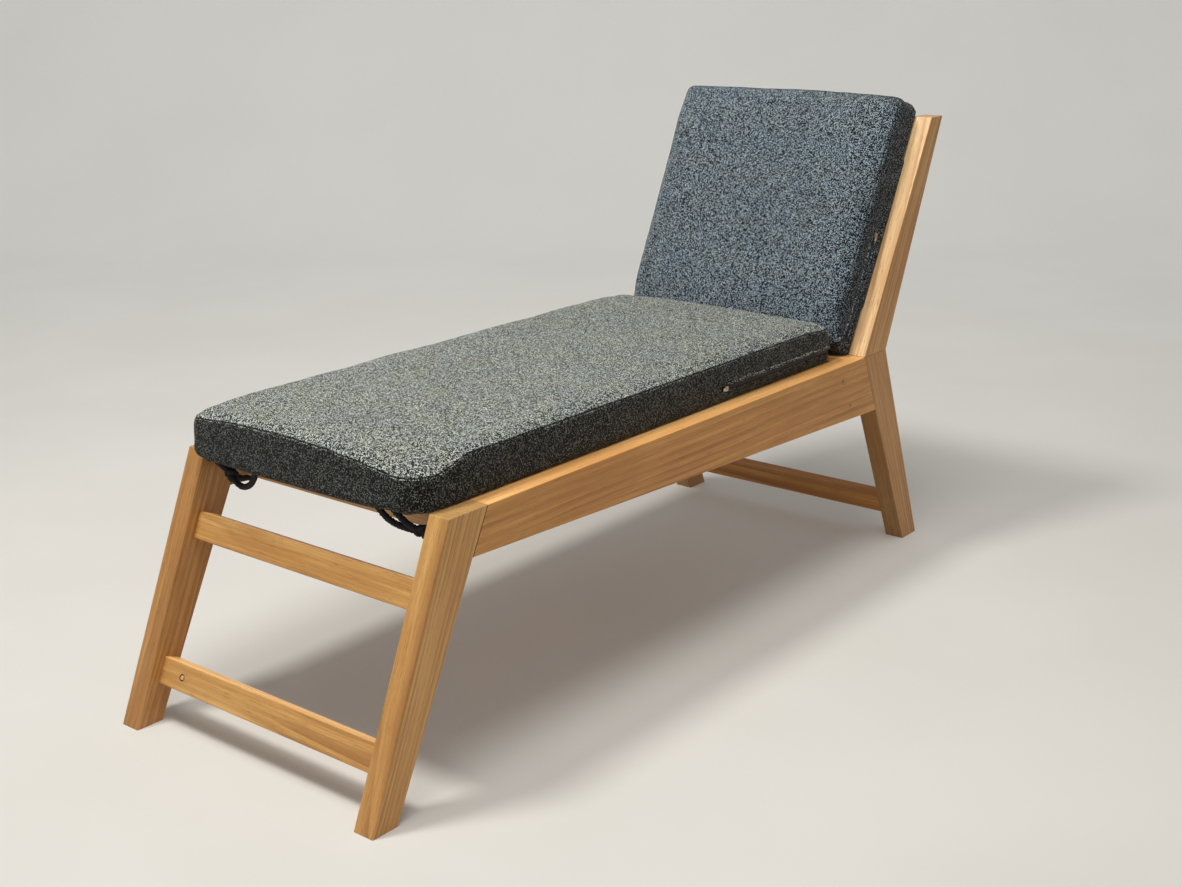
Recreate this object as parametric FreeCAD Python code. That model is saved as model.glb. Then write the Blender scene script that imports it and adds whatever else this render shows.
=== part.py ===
"""A hardwood lounger for foot treatments, with a fixed back and two loose boxed cushions.

Millimetres. X runs across the chair, Y from the foot end to the back, Z up.
The origin is the middle of the floor area the chair covers.
Side profiles are written with Y measured from the front edge of the front feet.
"""
import FreeCAD, Part
import math
import os

V = FreeCAD.Vector

# Frame: overall sizes
overall_width = 600.0
overall_length = 1645.0
member_thickness = 41.0
seat_height = 438.0
post_top_height = 886.0

# Front legs: splayed forward, deeper at the top than at the foot
front_foot_depth = 51.0
front_leg_top_front = 182.5
front_leg_top_rear = 265.5

# Rear legs and back posts meet in one level butt joint at seat height
back_rake = 279.0
rear_joint_depth = 84.0
rear_leg_rake = 190.5
rear_foot_depth = 57.0
post_top_depth = 45.5

# Side rails: level on top, deeper towards the rear
rail_front_depth = 73.0
rail_rear_depth = 120.0

# Stretchers lie square to the slope of their legs
stretcher_setback = 22.0
front_stretcher_height = 46.0
front_stretcher_depth = 28.0
upper_stretcher_top = 338.0
lower_stretcher_top = 110.0
rear_stretcher_setback = 14.0
rear_stretcher_top = 92.0
rear_stretcher_height = 44.0
rear_stretcher_depth = 28.0

# Cross rails under the seat cushion
front_cross_rail_front = 214.0
front_cross_rail_depth = 30.0
front_cross_rail_height = 38.0
rear_cross_rail_setback = 66.0
rear_cross_rail_depth = 68.0
rear_cross_rail_height = 34.0

# Mortises and tenons
joint_clearance = 0.2
rail_tenon_length = 38.0
rail_tenon_thickness = 12.0
rail_tenon_shoulder = 12.0
rear_tenon_top_shoulder = 34.0
stretcher_tenon_length = 24.0
stretcher_tenon_thickness = 12.0
cross_tenon_length = 12.0
tenon_shoulder = 6.0

# Eased arrises
leg_easing = 2.0
slat_easing = 1.5

# Dowels standing in the level joint between rear leg and back post
dowel_radius = 6.0
dowel_half_length = 30.0
dowel_front_inset = 27.0
dowel_rear_inset = 22.0

# Small round plug near one end of the lower front stretcher
plug_from_leg = 53.0
plug_below_top = 23.0
plug_radius = 3.75
plug_length = 16.0
plug_ring_radius = 5.5
plug_ring_depth = 2.0

# Seat slats on a ledger screwed to each side rail
slat_count = 10
slat_width = 75.0
slat_thickness = 18.0
slat_end_clearance = 0.5
ledger_width = 20.0
ledger_height = 22.0

# Countersunk wood screws
screw_radius = 2.0
screw_head_radius = 4.0
screw_head_height = 2.6
screw_clearance = 0.1
slat_screw_length = 32.0
ledger_screw_length = 36.0
ledger_screw_count = 5

# Back: two rails between the posts with upright slats let into them
back_rail_height = 60.0
back_rail_depth = 24.0
back_bottom_rail_start = 30.0
back_top_rail_drop = 20.0
back_tenon_length = 12.0
back_tenon_thickness = 12.0
back_slat_count = 6
back_slat_width = 50.0
back_slat_thickness = 14.0
back_slat_tenon_length = 10.0
back_slat_tenon_thickness = 8.0

# Cushions: boxed covers with a sewn top seam and a wadding wrap round a foam core
# Corner radii, spreads and drops run low right, high right, high left, low left
cushion_overlap = 5.5
cushion_gap = 0.3
cushion_wall = 10.0
cushion_side_bow = 1.5
cushion_shoulder = 60.0
seat_cushion_front = 153.0
seat_cushion_setback = 62.0
seat_corner_radii = (50.0, 18.0, 18.0, 20.0)
seat_corner_spreads = (0.0, 0.0, 0.0, 0.0)
seat_corner_drops = (16.0, 5.0, 5.0, 6.0)
seat_front_sag = 9.0
back_cushion_sink = 0.4
back_cushion_rise = 26.0
back_corner_radii = (14.0, 28.0, 14.0, 16.0)
back_corner_spreads = (0.0, 0.0, 11.0, -5.0)
back_corner_drops = (10.0, 8.0, 4.0, 10.0)
back_front_sag = 1.0

# Cushion outline in rings from the face it rests on to its crown:
# inset from the fullest outline and height above the resting face
seat_rings = ((8.0, 0.3), (3.0, 1.5), (0.0, 34.0), (3.0, 70.0), (6.0, 72.5), (4.0, 74.5), (22.0, 77.5),
              (70.0, 80.0), (120.0, 81.0))
back_rings = ((2.4, 0.3), (2.2, 20.0), (0.0, 44.0), (3.0, 62.0), (6.5, 67.0), (6.0, 69.0), (22.0, 77.0),
              (64.0, 82.5), (110.0, 84.0))
cover_drop_shares = (0.0, 0.0, 0.4, 1.0, 1.0, 1.0, 0.7, 0.3, 0.0)
cover_sag_shares = (0.0, 1.0, 0.3, -0.4, -0.4, -0.4, -0.2, 0.0, 0.0)
seat_core_rings = ((22.0, 9.0), (0.0, 18.0), (0.0, 58.0), (18.0, 68.0), (90.0, 71.0))
back_core_rings = ((22.0, 9.0), (0.0, 18.0), (0.0, 52.0), (18.0, 63.0), (90.0, 71.0))
core_drop_shares = (0.0, 0.0, 0.8, 0.8, 0.0)
core_sag_shares = (0.0, 0.0, 0.0, 0.0, 0.0)

# Zips in the right-hand wall of each cushion, each under a lapped lip
zip_height = 24.0
zip_channel_depth = 5.5
zip_channel_half = 5.7
zip_tape_thickness = 0.6
zip_tape_half = 5.4
zip_teeth_half = 2.5
zip_teeth_thickness = 1.6
zip_teeth_gap = 0.15
zip_running_gap = 0.1
slider_length = 9.0
slider_half_height = 4.5
slider_thickness = 4.0
slider_groove_half = 2.9
slider_groove_depth = 2.0
bridge_length = 6.0
bridge_half_height = 0.8
bridge_opening = 1.4
bridge_bar = 0.8
bridge_post = 1.2
pull_length = 12.0
pull_half_height = 2.8
pull_thickness = 0.9
pull_eye_half = 1.3
pull_eye_length = 3.6
lip_rounding = 2.0
lip_height = 5.0
lip_standout = 2.5
seat_zip_inset = 20.0
seat_zip_length = 350.0
back_zip_start = 40.0
back_zip_length = 208.0

# Fabric ties at the two front corners of the seat cushion
tie_radius = 5.0
knot_radius = 12.5
knot_length = 28.0
knot_waist = 2.0
bend_share = 0.45
left_tie_route = ((-220, 167, 440), (-212, 178, 424), (-202, 190, 407), (-202, 207, 394), (-203, 229, 391),
                  (-204, 251, 394), (-204, 258, 412), (-204, 259, 440))
left_loop_route = ((-203, 189, 405), (-187, 186, 397), (-168, 183, 393), (-148, 180, 399), (-128, 175, 412),
                   (-110, 170, 440))
right_tie_route = ((172, 163, 439), (181, 168, 422), (201, 175, 411), (222, 181, 407), (240, 187, 406),
                   (244, 207, 394), (245, 229, 391), (246, 251, 394), (246, 258, 412), (246, 259, 440))
right_loop_route = ((200, 163, 445), (213, 171, 425), (226, 178, 413), (241, 186, 407))

half_width = overall_width / 2
inner_face = half_width - member_thickness
middle_of_leg = half_width - member_thickness / 2
floor_shift = V(0, -overall_length / 2, 0)

# Places along the chair, worked back from its rear end
rear_joint_front = overall_length - back_rake
rear_joint_rear = rear_joint_front + rear_joint_depth
rear_foot_front = rear_joint_front + rear_leg_rake
rear_foot_rear = rear_foot_front + rear_foot_depth
post_top_front = overall_length - post_top_depth
rear_cross_rail_front = rear_joint_front - rear_cross_rail_setback
post_length = math.hypot(post_top_front - rear_joint_front, post_top_height - seat_height)
back_top_rail_start = post_length - back_top_rail_drop - back_rail_height

# Cushions fill the chair's width, and the zips lie in channels in their right-hand walls
cushion_half_width = inner_face + cushion_overlap
seat_cushion_length = rear_joint_front - seat_cushion_setback - seat_cushion_front
back_cushion_length = back_cushion_sink + post_length + back_cushion_rise
zip_floor = cushion_half_width - zip_channel_depth
seat_zip_end = seat_cushion_length - seat_zip_inset
seat_zip_start = seat_zip_end - seat_zip_length
back_zip_end = back_zip_start + back_zip_length

os.makedirs("parts", exist_ok=True)


def save(name, shape):
    """Moves a shape so that the chair stands over the origin and writes it as one piece."""
    placed = shape.copy()
    placed.translate(floor_shift)
    placed.exportStep("parts/" + name + ".step")


def mirrored(shape):
    return shape.mirror(V(0, 0, 0), V(1, 0, 0))


def y_at(low, high, z):
    """Y on the straight line through two (y, z) points at height z."""
    return low[0] + (high[0] - low[0]) * (z - low[1]) / (high[1] - low[1])


def side_prism(outline, x_low, x_high):
    """A plate whose outline lies in the side view."""
    points = [V(x_low, y, z) for y, z in outline]
    face = Part.Face(Part.makePolygon(points + points[:1]))
    return face.extrude(V(x_high - x_low, 0, 0))


def block(x_low, x_high, y_low, y_high, z_low, z_high):
    return Part.makeBox(x_high - x_low, y_high - y_low, z_high - z_low, V(x_low, y_low, z_low))


def eased(shape, radius, shortest):
    """Rounds the arrises longer than a given length."""
    long_edges = [edge for edge in shape.Edges if edge.Length > shortest]
    return shape.makeFillet(radius, long_edges)


def sloping_axes(lean):
    """Unit vectors up a member that leans back by an angle, and square to it towards the rear."""
    return V(0, math.sin(lean), math.cos(lean)), V(0, math.cos(lean), -math.sin(lean))


def sloping_bar(centre, lean, height, depth, x_low, x_high):
    """A bar across the chair whose section is turned to a leaning member."""
    up, back = sloping_axes(lean)
    outline = []
    for along, across in ((1, -1), (1, 1), (-1, 1), (-1, -1)):
        corner = centre + up * (along * height / 2) + back * (across * depth / 2)
        outline.append((corner.y, corner.z))
    return side_prism(outline, x_low, x_high)


def cross_member(centre, lean, height, depth, tenon, thickness):
    """A bar between the inner faces with a tenon at each end, and the right-hand mortise cutter."""
    bar = eased(sloping_bar(centre, lean, height, depth, -inner_face, inner_face), leg_easing, inner_face)
    tenon_height = height - 2 * tenon_shoulder
    reach = inner_face + tenon
    tongue = sloping_bar(centre, lean, tenon_height, thickness, -reach, reach)
    grown = 2 * joint_clearance
    mortise = sloping_bar(centre, lean, tenon_height + grown, thickness + grown,
                          inner_face, reach + joint_clearance)
    return bar.fuse(tongue).removeSplitter(), mortise


def bar_centre(low, high, top, setback, height, depth):
    """Centre of a bar set back from the sloping edge low-high with its upper front arris at height top."""
    lean = math.atan2(high[0] - low[0], high[1] - low[1])
    up, back = sloping_axes(lean)
    arris = V(0, y_at(low, high, top) + setback, top)
    return arris - up * (height / 2) + back * (depth / 2), lean


def rail_tenon(low, high, rail_bottom, direction, top_shoulder, growth):
    """The tongue of a side rail that enters a sloping leg through its edge low-high."""
    top = seat_height - top_shoulder + growth
    bottom = rail_bottom + rail_tenon_shoulder - growth
    reach = direction * (rail_tenon_length + growth)
    upper = y_at(low, high, top)
    lower = y_at(low, high, bottom)
    half = rail_tenon_thickness / 2 + growth
    outline = ((upper, top), (upper + reach, top), (lower + reach, bottom), (lower, bottom))
    return side_prism(outline, middle_of_leg - half, middle_of_leg + half)


# Edges of the legs and posts in the side view
front_leg_front = ((0, 0), (front_leg_top_front, seat_height))
front_leg_rear = ((front_foot_depth, 0), (front_leg_top_rear, seat_height))
rear_leg_front = ((rear_foot_front, 0), (rear_joint_front, seat_height))
rear_leg_rear = ((rear_foot_rear, 0), (rear_joint_rear, seat_height))
post_front = ((rear_joint_front, seat_height), (post_top_front, post_top_height))
post_rear = ((rear_joint_rear, seat_height), (overall_length, post_top_height))
back_lean = math.atan2(post_top_front - rear_joint_front, post_top_height - seat_height)
back_up, back_rear = sloping_axes(back_lean)
back_foot = V(0, rear_joint_front, seat_height)

# Cross members and the mortises they need
upper_centre, front_lean = bar_centre(*front_leg_front, upper_stretcher_top, stretcher_setback,
                                      front_stretcher_height, front_stretcher_depth)
upper_stretcher, upper_mortise = cross_member(upper_centre, front_lean, front_stretcher_height,
                                              front_stretcher_depth, stretcher_tenon_length,
                                              stretcher_tenon_thickness)
lower_centre, front_lean = bar_centre(*front_leg_front, lower_stretcher_top, stretcher_setback,
                                      front_stretcher_height, front_stretcher_depth)
lower_stretcher, lower_mortise = cross_member(lower_centre, front_lean, front_stretcher_height,
                                              front_stretcher_depth, stretcher_tenon_length,
                                              stretcher_tenon_thickness)
rear_centre, rear_lean = bar_centre(*rear_leg_front, rear_stretcher_top, rear_stretcher_setback,
                                    rear_stretcher_height, rear_stretcher_depth)
rear_stretcher, rear_mortise = cross_member(rear_centre, rear_lean, rear_stretcher_height,
                                            rear_stretcher_depth, stretcher_tenon_length,
                                            stretcher_tenon_thickness)
front_cross_centre = V(0, front_cross_rail_front + front_cross_rail_depth / 2,
                       seat_height - front_cross_rail_height / 2)
front_cross_rail, front_cross_mortise = cross_member(front_cross_centre, 0, front_cross_rail_height,
                                                     front_cross_rail_depth, cross_tenon_length,
                                                     stretcher_tenon_thickness)
rear_cross_centre = V(0, rear_cross_rail_front + rear_cross_rail_depth / 2,
                      seat_height - rear_cross_rail_height / 2)
rear_cross_rail, rear_cross_mortise = cross_member(rear_cross_centre, 0, rear_cross_rail_height,
                                                   rear_cross_rail_depth, cross_tenon_length,
                                                   stretcher_tenon_thickness)


def back_rail(start):
    """A back rail lying flush with the front of the posts, and its mortise cutter."""
    centre = back_foot + back_up * (start + back_rail_height / 2) + back_rear * (back_rail_depth / 2)
    return cross_member(centre, back_lean, back_rail_height, back_rail_depth, back_tenon_length,
                        back_tenon_thickness)


back_bottom_rail, back_bottom_mortise = back_rail(back_bottom_rail_start)
back_top_rail, back_top_mortise = back_rail(back_top_rail_start)

# Plug in the lower front stretcher, set in a shallow round recess
front_up, front_back = sloping_axes(front_lean)
plug_face = lower_centre + front_up * (front_stretcher_height / 2 - plug_below_top)
plug_face = plug_face - front_back * (front_stretcher_depth / 2)
plug_face.x = plug_from_leg - inner_face
plug_hole_radius = plug_radius + joint_clearance
plug_ring = Part.makeCylinder(plug_ring_radius, plug_ring_depth, plug_face, front_back)
plug_hole = Part.makeCylinder(plug_hole_radius, plug_length, plug_face, front_back)
lower_stretcher = lower_stretcher.cut(plug_ring).cut(plug_hole)
stretcher_plug = Part.makeCylinder(plug_radius, plug_length, plug_face, front_back)

# Right-hand side frame
front_rail_bottom = seat_height - rail_front_depth
rear_rail_bottom = seat_height - rail_rear_depth
front_leg = side_prism((front_leg_front[0], front_leg_rear[0], front_leg_rear[1], front_leg_front[1]),
                       inner_face, half_width)
front_leg = eased(front_leg, leg_easing, seat_height)
front_rail_mortise = rail_tenon(*front_leg_rear, front_rail_bottom, -1, rail_tenon_shoulder, joint_clearance)
front_leg = front_leg.cut(front_rail_mortise)
for mortise in (upper_mortise, lower_mortise, front_cross_mortise):
    front_leg = front_leg.cut(mortise)

rear_leg = side_prism((rear_leg_front[0], rear_leg_rear[0], rear_leg_rear[1], rear_leg_front[1]),
                      inner_face, half_width)
rear_leg = eased(rear_leg, leg_easing, seat_height)
rear_rail_mortise = rail_tenon(*rear_leg_front, rear_rail_bottom, 1, rear_tenon_top_shoulder, joint_clearance)
rear_leg = rear_leg.cut(rear_rail_mortise).cut(rear_mortise)

rail_outline = ((front_leg_top_rear, seat_height), (rear_joint_front, seat_height),
                (y_at(*rear_leg_front, rear_rail_bottom), rear_rail_bottom),
                (y_at(*front_leg_rear, front_rail_bottom), front_rail_bottom))
side_rail = eased(side_prism(rail_outline, inner_face, half_width), leg_easing, seat_height)
side_rail = side_rail.fuse(rail_tenon(*front_leg_rear, front_rail_bottom, -1, rail_tenon_shoulder, 0))
side_rail = side_rail.fuse(rail_tenon(*rear_leg_front, rear_rail_bottom, 1, rear_tenon_top_shoulder, 0))
side_rail = side_rail.removeSplitter().cut(rear_cross_mortise)

back_post = side_prism((post_front[0], post_rear[0], post_rear[1], post_front[1]), inner_face, half_width)
back_post = eased(back_post, leg_easing, post_top_height - seat_height)
for mortise in (back_bottom_mortise, back_top_mortise):
    back_post = back_post.cut(mortise)

# Upright dowels through the joint
dowels = []
for dowel_y in (rear_joint_front + dowel_front_inset, rear_joint_rear - dowel_rear_inset):
    foot = V(middle_of_leg, dowel_y, seat_height - dowel_half_length)
    dowels.append(Part.makeCylinder(dowel_radius, 2 * dowel_half_length, foot))
    hole = Part.makeCylinder(dowel_radius + joint_clearance, 2 * (dowel_half_length + joint_clearance),
                             foot - V(0, 0, joint_clearance))
    rear_leg = rear_leg.cut(hole)
    back_post = back_post.cut(hole)

# Seat slats, evenly spaced between the cross rails
deck_start = front_cross_rail_front + front_cross_rail_depth
deck_end = rear_cross_rail_front
slat_gap = (deck_end - deck_start - slat_count * slat_width) / (slat_count + 1)
slat_pitch = slat_width + slat_gap
slat_bottom = seat_height - slat_thickness
ledger_middle = inner_face - ledger_width / 2
ledger_bottom = slat_bottom - ledger_height


def screw(head, direction, length, growth):
    """A countersunk screw from the middle of its head."""
    radius = screw_radius + growth
    cone = Part.makeCone(screw_head_radius + growth, radius, screw_head_height, head, direction)
    shank = Part.makeCylinder(radius, length + growth, head, direction)
    return cone.fuse(shank).removeSplitter()


slats = []
slat_screws = []
ledger = block(inner_face - ledger_width, inner_face, deck_start + slat_gap, deck_end - slat_gap,
               ledger_bottom, slat_bottom)
slat_end = inner_face - slat_end_clearance
for index in range(slat_count):
    slat_front = deck_start + slat_gap + index * slat_pitch
    slat = block(-slat_end, slat_end, slat_front, slat_front + slat_width, slat_bottom, seat_height)
    slat = eased(slat, slat_easing, inner_face)
    head = V(ledger_middle, slat_front + slat_width / 2, seat_height)
    slat_screws.append(screw(head, V(0, 0, -1), slat_screw_length, 0))
    hole = screw(head, V(0, 0, -1), slat_screw_length, screw_clearance)
    slat = slat.cut(hole).cut(mirrored(hole))
    ledger = ledger.cut(hole)
    slats.append(slat)

# Ledger screws, each under a gap between two slats
ledger_screws = []
for index in range(ledger_screw_count):
    gap_number = 1 + index * (slat_count - 2) // (ledger_screw_count - 1)
    screw_y = deck_start + slat_gap / 2 + gap_number * slat_pitch
    head = V(inner_face - ledger_width, screw_y, ledger_bottom + ledger_height / 2)
    ledger_screws.append(screw(head, V(1, 0, 0), ledger_screw_length, 0))
    hole = screw(head, V(1, 0, 0), ledger_screw_length, screw_clearance)
    ledger = ledger.cut(hole)
    side_rail = side_rail.cut(hole)

# Back slats with a stub tenon at each end
back_slats = []
slat_low = back_bottom_rail_start + back_rail_height
slat_length = back_top_rail_start - slat_low
back_slat_gap = (2 * inner_face - back_slat_count * back_slat_width) / (back_slat_count + 1)
slat_middle = back_foot + back_up * (slat_low + slat_length / 2) + back_rear * (back_slat_thickness / 2)
for index in range(back_slat_count):
    left = back_slat_gap - inner_face + index * (back_slat_width + back_slat_gap)
    right = left + back_slat_width
    board = sloping_bar(slat_middle, back_lean, slat_length, back_slat_thickness, left, right)
    board = eased(board, slat_easing, slat_length - joint_clearance)
    tongue = sloping_bar(slat_middle, back_lean, slat_length + 2 * back_slat_tenon_length,
                         back_slat_tenon_thickness, left + tenon_shoulder, right - tenon_shoulder)
    back_slats.append(board.fuse(tongue).removeSplitter())
    grown = 2 * joint_clearance
    mortise = sloping_bar(slat_middle, back_lean, slat_length + 2 * back_slat_tenon_length + grown,
                          back_slat_tenon_thickness + grown, left + tenon_shoulder - joint_clearance,
                          right - tenon_shoulder + joint_clearance)
    back_bottom_rail = back_bottom_rail.cut(mortise)
    back_top_rail = back_top_rail.cut(mortise)

for side, turn in (("right", lambda shape: shape), ("left", mirrored)):
    save("front_leg_" + side, turn(front_leg))
    save("rear_leg_" + side, turn(rear_leg))
    save("side_rail_" + side, turn(side_rail))
    save("back_post_" + side, turn(back_post))
    save("seat_ledger_" + side, turn(ledger))
save("front_upper_stretcher", upper_stretcher)
save("front_lower_stretcher", lower_stretcher)
save("rear_stretcher", rear_stretcher)
save("stretcher_plug", stretcher_plug)
save("front_cross_rail", front_cross_rail)
save("rear_cross_rail", rear_cross_rail)
save("back_bottom_rail", back_bottom_rail)
save("back_top_rail", back_top_rail)
for index, slat in enumerate(slats):
    save("seat_slat_" + str(index + 1), slat)
for index, slat in enumerate(back_slats):
    save("back_slat_" + str(index + 1), slat)
save("post_dowels", Part.makeCompound(dowels + [mirrored(dowel) for dowel in dowels]))
save("slat_screws", Part.makeCompound(slat_screws + [mirrored(piece) for piece in slat_screws]))
save("ledger_screws", Part.makeCompound(ledger_screws + [mirrored(piece) for piece in ledger_screws]))


def ring(x_half, y_low, y_high, radii, spreads, height, drops, drop_share, sag):
    """One closed outline of a cushion: four bowed sides and four corner arcs.

    The corners lie lower than the sides and may stand further out. The long sides rise to their
    height over a short shoulder, and the low side can sag in its middle.
    """
    corners = ((x_half, y_low, 1, -1), (x_half, y_high, 1, 1),
               (-x_half, y_high, -1, 1), (-x_half, y_low, -1, -1))
    arcs = []
    ends = []
    for (x, y, x_way, y_way), radius, spread, drop in zip(corners, radii, spreads, drops):
        centre = V(x + x_way * (spread - radius), y - y_way * radius, height - drop * drop_share)
        along_x = centre + V(0, y_way * radius, 0)
        along_y = centre + V(x_way * radius, 0, 0)
        middle = centre + V(x_way, y_way, 0) * (radius / math.sqrt(2))
        first, last = (along_x, along_y) if x_way * y_way < 0 else (along_y, along_x)
        ends.append((first, last))
        arcs.append(Part.Arc(first, middle, last))
    sides = ((V(1, 0, 0), True, 0), (V(0, 1, 0), False, 0), (V(-1, 0, 0), True, 0), (V(0, -1, 0), False, sag))
    edges = []
    for number, (outward, shouldered, side_sag) in enumerate(sides):
        start = ends[number][1]
        end = ends[(number + 1) % len(ends)][0]
        middle = (start + end) / 2 + outward * cushion_side_bow
        middle.z = height - side_sag
        edges.append(arcs[number].toShape())
        if shouldered:
            along = V(end.x - start.x, end.y - start.y, 0).normalize()
            risen = start + along * cushion_shoulder
            falling = end - along * cushion_shoulder
            risen.z = height
            falling.z = height
            edges.append(Part.makeLine(start, risen))
            edges.append(Part.Arc(risen, middle, falling).toShape())
            edges.append(Part.makeLine(falling, end))
        else:
            edges.append(Part.Arc(start, middle, end).toShape())
    return Part.Wire(edges)


def cushion_form(rings, drop_shares, sag_shares, inset, length, corner_values, sag):
    """A closed cushion-shaped solid lofted through its rings."""
    radii, spreads, drops = corner_values
    wires = []
    for (ring_inset, height), drop_share, sag_share in zip(rings, drop_shares, sag_shares):
        edge = inset + ring_inset
        wires.append(ring(cushion_half_width - edge, edge, length - edge, radii, spreads, height, drops,
                          drop_share, sag * sag_share))
    return Part.makeLoft(wires, True, True)


def zip_parts(start, end, slider_middle):
    """Tapes, teeth, slider and pull of a zip along the right-hand wall, and the pull's hinge point."""
    tape_face = zip_floor + zip_tape_thickness
    teeth_face = tape_face + zip_teeth_thickness
    tapes = []
    teeth = []
    for way in (1, -1):
        near = zip_height + way * zip_teeth_gap
        far = zip_height + way * zip_tape_half
        rim = zip_height + way * zip_teeth_half
        tapes.append(block(zip_floor, tape_face, start, end, min(near, far), max(near, far)))
        teeth.append(block(tape_face, teeth_face, start, end, min(near, rim), max(near, rim)))
    back = tape_face + zip_running_gap
    front = back + slider_thickness
    half = slider_length / 2
    body = block(back, front, slider_middle - half, slider_middle + half, zip_height - slider_half_height,
                 zip_height + slider_half_height)
    groove = block(back, back + slider_groove_depth, slider_middle - half, slider_middle + half,
                   zip_height - slider_groove_half, zip_height + slider_groove_half)
    top = front + bridge_opening + bridge_bar
    arch = block(front, top, slider_middle - bridge_length / 2, slider_middle + bridge_length / 2,
                 zip_height - bridge_half_height, zip_height + bridge_half_height)
    opening = bridge_length / 2 - bridge_post
    window = block(front, front + bridge_opening, slider_middle - opening, slider_middle + opening,
                   zip_height - bridge_half_height, zip_height + bridge_half_height)
    slider = body.cut(groove).fuse(arch.cut(window)).removeSplitter()
    axle = front + bridge_opening / 2
    thin = pull_thickness / 2
    plate = block(axle - thin, axle + thin, slider_middle - pull_length, slider_middle + thin,
                  zip_height - pull_half_height, zip_height + pull_half_height)
    eye = block(axle - thin, axle + thin, slider_middle - thin - pull_eye_length, slider_middle - thin,
                zip_height - pull_eye_half, zip_height + pull_eye_half)
    pull = plate.cut(eye)
    return Part.makeCompound(tapes), Part.makeCompound(teeth), slider, pull


def cushion(rings, core_rings, length, corner_values, sag, zip_start, zip_end, slider_middle):
    """A cushion in its own frame, resting on its lower face: cover, core and zip."""
    outer = cushion_form(rings, cover_drop_shares, cover_sag_shares, 0, length, corner_values, sag)
    core = cushion_form(core_rings, core_drop_shares, core_sag_shares, cushion_wall, length, corner_values, 0)
    pocket_rings = []
    core_middle = core_rings[-1][1] / 2
    for ring_inset, height in core_rings:
        pocket_rings.append((ring_inset, height + math.copysign(cushion_gap, height - core_middle)))
    pocket = cushion_form(pocket_rings, core_drop_shares, core_sag_shares, cushion_wall - cushion_gap, length,
                          corner_values, 0)
    low = zip_height - zip_channel_half
    high = zip_height + zip_channel_half
    lip_reach = cushion_half_width + lip_standout
    channel = block(zip_floor, lip_reach, zip_start - pull_length, zip_end, low, high)
    lip = block(zip_floor, lip_reach, zip_start + slider_length, zip_end, high, high + lip_height)
    outer_edges = [edge for edge in lip.Edges
                   if edge.Length > lip_height and edge.BoundBox.XMin > cushion_half_width]
    lip = lip.makeFillet(lip_rounding, outer_edges)
    cover = outer.cut(channel).fuse(lip).cut(pocket)
    return (cover, core) + zip_parts(zip_start, zip_end, slider_middle)


def store_cushion(prefix, pieces, move):
    for name, piece in zip(("cover", "core", "zip_tapes", "zip_teeth", "zip_slider", "zip_pull"), pieces):
        save(prefix + "_" + name, move(piece))


def on_seat(shape):
    placed = shape.copy()
    placed.translate(V(0, seat_cushion_front, seat_height))
    return placed


def on_back(shape):
    """Stands a cushion on end against the back slats."""
    lowest = back_foot - back_up * back_cushion_sink
    turned = FreeCAD.Placement(lowest, FreeCAD.Rotation(V(0, 1, 0), back_up))
    placed = shape.copy()
    placed.Placement = turned.multiply(placed.Placement)
    return placed


seat_pieces = cushion(seat_rings, seat_core_rings, seat_cushion_length,
                      (seat_corner_radii, seat_corner_spreads, seat_corner_drops), seat_front_sag,
                      seat_zip_start, seat_zip_end, seat_zip_start + slider_length / 2)
back_pieces = cushion(back_rings, back_core_rings, back_cushion_length,
                      (back_corner_radii, back_corner_spreads, back_corner_drops), back_front_sag,
                      back_zip_start, back_zip_end, back_zip_end - slider_length / 2)
store_cushion("seat", seat_pieces, on_seat)
store_cushion("back", back_pieces, on_back)


def cord(route, radius):
    """A tube along straight runs joined by tangent arcs; prints its bend radii and its volume check."""
    points = [V(*point) for point in route]
    edges = []
    radii = []
    start = points[0]
    for before, corner, after in zip(points, points[1:], points[2:]):
        arriving = corner - before
        leaving = after - corner
        half_turn = arriving.getAngle(leaving) / 2
        setback = bend_share * min(arriving.Length, leaving.Length)
        arriving.normalize()
        leaving.normalize()
        first = corner - arriving * setback
        last = corner + leaving * setback
        bend = setback / math.tan(half_turn)
        radii.append(round(bend, 1))
        inward = leaving - arriving
        inward.normalize()
        middle = corner + inward * (bend / math.cos(half_turn) - bend)
        edges.append(Part.makeLine(start, first))
        edges.append(Part.Arc(first, middle, last).toShape())
        start = last
    edges.append(Part.makeLine(start, points[-1]))
    path = Part.Wire(edges)
    direction = points[1] - points[0]
    profile = Part.Wire(Part.makeCircle(radius, points[0], direction))
    tube = path.makePipeShell([profile], True, False)
    expected = math.pi * radius * radius * path.Length
    print("cord radii", radii, "length", round(path.Length, 1))
    print("volume over section times length", round(tube.Volume / expected, 3))
    return tube


def knot(centre, direction):
    """A round knot of two turns lying along the tie."""
    half = knot_length / 2
    turn = half / 2
    waist = knot_radius - knot_waist
    neck = tie_radius + knot_waist / 2
    stations = ((-half, neck), (-turn, knot_radius), (0, waist), (turn, knot_radius), (half, neck))
    points = [V(reach, 0, along) for along, reach in stations]
    upper = Part.Arc(points[2], points[3], points[4]).toShape()
    lower = Part.Arc(points[0], points[1], points[2]).toShape()
    foot = V(0, 0, -half)
    head = V(0, 0, half)
    outline = Part.Wire([Part.makeLine(foot, points[0]), lower, upper, Part.makeLine(points[4], head),
                         Part.makeLine(head, foot)])
    body = Part.Face(outline).revolve(V(0, 0, 0), V(0, 0, 1))
    body.Placement = FreeCAD.Placement(V(*centre), FreeCAD.Rotation(V(0, 0, 1), V(*direction)))
    return body


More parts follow.
